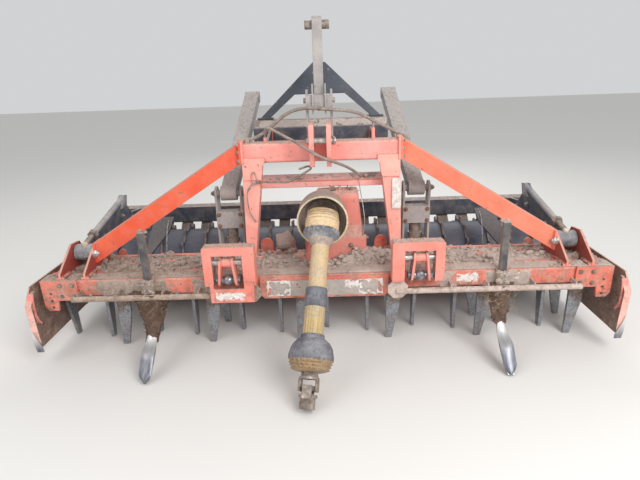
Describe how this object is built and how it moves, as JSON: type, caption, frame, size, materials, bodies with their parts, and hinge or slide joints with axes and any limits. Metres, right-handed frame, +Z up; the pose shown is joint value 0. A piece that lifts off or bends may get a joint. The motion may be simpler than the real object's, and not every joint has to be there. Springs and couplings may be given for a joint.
{
  "type": "power harrow",
  "caption": "Tractor-mounted power harrow with tined rotors under a trough, three-point headstock, packer roller, side plates and drive shaft",
  "frame": {"origin": "on the floor under the middle of the machine's box", "axes": "+X along the working width, the machine's left in front view is -X; -Y is the tractor side; +Z up"},
  "size_m": [3.076, 1.6252, 1.702],
  "materials": {
    "paint_red": "faded red-orange paint, dusty, chipped to bare steel at the edges",
    "paint_blue": "dark blue-grey paint under dried soil",
    "bare_steel": "bare steel, dusty",
    "worn_steel": "steel worn bright at the tips, with rust and soil above",
    "guard_black": "black plastic guard, dusty",
    "shaft_yellow": "faded yellow plastic guard tubes, muddy"
  },
  "bodies": {
    "root": {"trough": "paint_red", "trough_cover": "paint_red", "front_beam": "paint_red", "guard_bar_left": "paint_red", "guard_bar_right": "paint_red", "top_beam": "paint_red", "cross_bar": "paint_red", "top_link_bracket": "paint_red", "gearbox": "paint_red", "eradicator_clamp_left": "paint_red", "eradicator_clamp_right": "paint_red", "headstock_leg_left": "paint_red", "brace_left": "paint_red", "end_bracket_left": "paint_red", "hitch_portal_left": "paint_red", "side_hinge_left": "paint_red", "headstock_leg_right": "paint_red", "brace_right": "paint_red", "end_bracket_right": "paint_red", "hitch_portal_right": "paint_red", "side_hinge_right": "paint_red", "rear_bar": "paint_blue", "a_frame": "paint_blue", "lift_tower_left": "paint_blue", "lift_tower_right": "paint_blue", "rear_stay_left": "paint_blue", "rear_stay_right": "paint_blue", "upper_lugs": "paint_blue", "top_link_pin": "bare_steel", "top_strut": "bare_steel", "input_yoke": "bare_steel", "eradicator_left": "worn_steel", "eradicator_right": "worn_steel", "input_guard": "guard_black", "hose": "guard_black"},
    "rotor_01": {"rotor_01": "worn_steel"},
    "rotor_02": {"rotor_02": "worn_steel"},
    "rotor_03": {"rotor_03": "worn_steel"},
    "rotor_04": {"rotor_04": "worn_steel"},
    "rotor_05": {"rotor_05": "worn_steel"},
    "rotor_06": {"rotor_06": "worn_steel"},
    "rotor_07": {"rotor_07": "worn_steel"},
    "rotor_08": {"rotor_08": "worn_steel"},
    "rotor_09": {"rotor_09": "worn_steel"},
    "rotor_10": {"rotor_10": "worn_steel"},
    "rotor_11": {"rotor_11": "worn_steel"},
    "rotor_12": {"rotor_12": "worn_steel"},
    "roller_frame": {"roller_frame": "paint_blue", "roller_arm_left": "paint_blue", "roller_arm_right": "paint_blue", "scrapers": "worn_steel"},
    "roller": {"roller": "worn_steel"},
    "side_plate_left": {"side_plate_left": "paint_red"},
    "hitch_clevis_left": {"hitch_clevis_left": "worn_steel"},
    "lift_arm_left": {"lift_arm_left": "paint_blue"},
    "side_plate_right": {"side_plate_right": "paint_red"},
    "hitch_clevis_right": {"hitch_clevis_right": "worn_steel"},
    "lift_arm_right": {"lift_arm_right": "paint_blue"},
    "shaft_outer": {"shaft_outer": "shaft_yellow"},
    "shaft_inner": {"shaft_inner": "shaft_yellow"}
  },
  "joints": [
    {"name": "rotor_01_spin", "type": "hinge", "parent": "root", "child": "rotor_01", "pos_m": [-1.375, -0.028, 0.262], "axis": [0, 0, 1], "continuous": true},
    {"name": "rotor_02_spin", "type": "hinge", "parent": "root", "child": "rotor_02", "pos_m": [-1.125, -0.028, 0.262], "axis": [0, 0, 1], "continuous": true},
    {"name": "rotor_03_spin", "type": "hinge", "parent": "root", "child": "rotor_03", "pos_m": [-0.875, -0.028, 0.262], "axis": [0, 0, 1], "continuous": true},
    {"name": "rotor_04_spin", "type": "hinge", "parent": "root", "child": "rotor_04", "pos_m": [-0.625, -0.028, 0.262], "axis": [0, 0, 1], "continuous": true},
    {"name": "rotor_05_spin", "type": "hinge", "parent": "root", "child": "rotor_05", "pos_m": [-0.375, -0.028, 0.262], "axis": [0, 0, 1], "continuous": true},
    {"name": "rotor_06_spin", "type": "hinge", "parent": "root", "child": "rotor_06", "pos_m": [-0.125, -0.028, 0.262], "axis": [0, 0, 1], "continuous": true},
    {"name": "rotor_07_spin", "type": "hinge", "parent": "root", "child": "rotor_07", "pos_m": [0.125, -0.028, 0.262], "axis": [0, 0, 1], "continuous": true},
    {"name": "rotor_08_spin", "type": "hinge", "parent": "root", "child": "rotor_08", "pos_m": [0.375, -0.028, 0.262], "axis": [0, 0, 1], "continuous": true},
    {"name": "rotor_09_spin", "type": "hinge", "parent": "root", "child": "rotor_09", "pos_m": [0.625, -0.028, 0.262], "axis": [0, 0, 1], "continuous": true},
    {"name": "rotor_10_spin", "type": "hinge", "parent": "root", "child": "rotor_10", "pos_m": [0.875, -0.028, 0.262], "axis": [0, 0, 1], "continuous": true},
    {"name": "rotor_11_spin", "type": "hinge", "parent": "root", "child": "rotor_11", "pos_m": [1.125, -0.028, 0.262], "axis": [0, 0, 1], "continuous": true},
    {"name": "rotor_12_spin", "type": "hinge", "parent": "root", "child": "rotor_12", "pos_m": [1.375, -0.028, 0.262], "axis": [0, 0, 1], "continuous": true},
    {"name": "roller_frame_lift", "type": "hinge", "parent": "root", "child": "roller_frame", "pos_m": [0, -0.068, 0.538], "axis": [1, 0, 0], "range_deg": [-12, 0]},
    {"name": "roller_spin", "type": "hinge", "parent": "roller_frame", "child": "roller", "pos_m": [0, 0.517, 0.25], "axis": [1, 0, 0], "continuous": true},
    {"name": "side_plate_left_swing", "type": "hinge", "parent": "root", "child": "side_plate_left", "pos_m": [-1.508, -0.028, 0.398], "axis": [0, 1, 0], "range_deg": [0, 60]},
    {"name": "hitch_clevis_left_swing", "type": "hinge", "parent": "root", "child": "hitch_clevis_left", "pos_m": [-0.4825, -0.325, 0.556], "axis": [1, 0, 0], "range_deg": [-35, 4]},
    {"name": "lift_arm_left_lift", "type": "hinge", "parent": "root", "child": "lift_arm_left", "pos_m": [-0.54, 0.169, 0.79], "axis": [1, 0, 0], "range_deg": [-40, 10]},
    {"name": "side_plate_right_swing", "type": "hinge", "parent": "root", "child": "side_plate_right", "pos_m": [1.508, -0.028, 0.398], "axis": [0, 1, 0], "range_deg": [-60, 0]},
    {"name": "hitch_clevis_right_swing", "type": "hinge", "parent": "root", "child": "hitch_clevis_right", "pos_m": [0.4825, -0.325, 0.556], "axis": [1, 0, 0], "range_deg": [-35, 4]},
    {"name": "lift_arm_right_lift", "type": "hinge", "parent": "root", "child": "lift_arm_right", "pos_m": [0.54, 0.169, 0.79], "axis": [1, 0, 0], "range_deg": [-40, 10]},
    {"name": "shaft_pitch", "type": "hinge", "parent": "root", "child": "shaft_outer", "pos_m": [0, -0.211, 0.715], "axis": [1, 0, 0], "range_deg": [-60, 2]},
    {"name": "shaft_slide", "type": "slide", "parent": "shaft_outer", "child": "shaft_inner", "axis": [-0.1, -0.6354, -0.7657], "range_m": [0, 0.12]}
  ],
  "couplings": [
    {"joint": "rotor_02_spin", "follows": "rotor_01_spin", "ratio": -1},
    {"joint": "rotor_03_spin", "follows": "rotor_01_spin", "ratio": 1},
    {"joint": "rotor_04_spin", "follows": "rotor_01_spin", "ratio": -1},
    {"joint": "rotor_05_spin", "follows": "rotor_01_spin", "ratio": 1},
    {"joint": "rotor_06_spin", "follows": "rotor_01_spin", "ratio": -1},
    {"joint": "rotor_07_spin", "follows": "rotor_01_spin", "ratio": 1},
    {"joint": "rotor_08_spin", "follows": "rotor_01_spin", "ratio": -1},
    {"joint": "rotor_09_spin", "follows": "rotor_01_spin", "ratio": 1},
    {"joint": "rotor_10_spin", "follows": "rotor_01_spin", "ratio": -1},
    {"joint": "rotor_11_spin", "follows": "rotor_01_spin", "ratio": 1},
    {"joint": "rotor_12_spin", "follows": "rotor_01_spin", "ratio": -1}
  ]
}
